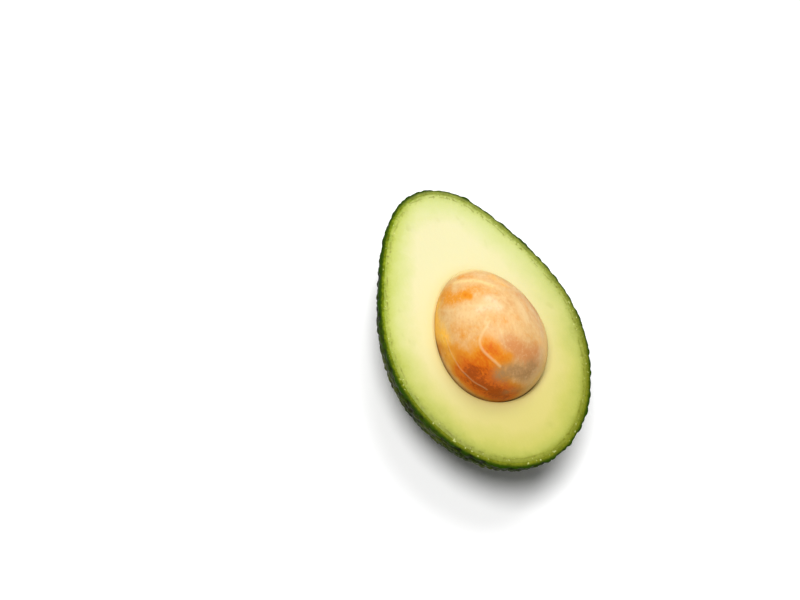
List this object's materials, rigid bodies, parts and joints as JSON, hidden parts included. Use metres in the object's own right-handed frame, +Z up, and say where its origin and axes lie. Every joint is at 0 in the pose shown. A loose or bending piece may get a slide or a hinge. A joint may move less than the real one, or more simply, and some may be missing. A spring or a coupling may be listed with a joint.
{
  "type": "halved avocado",
  "caption": "Egg-shaped fruit half, cut lengthwise, with thin pebbled skin, pale flesh and a round seed seated in the cut face.",
  "frame": {"origin": "centre of the small flat spot on the underside that the half rests on", "axes": "+X along the fruit to its narrow stem end, +Y across the cut face, +Z up out of the level cut face"},
  "size_m": [0.1013, 0.069, 0.0537],
  "materials": {
    "skin": "pebbled, waxy satin",
    "flesh": "moist, smooth cut",
    "seed": "smooth satin with pale veins"
  },
  "bodies": {
    "root": {"skin": "skin", "flesh": "flesh", "seed": "seed"}
  },
  "joints": []
}
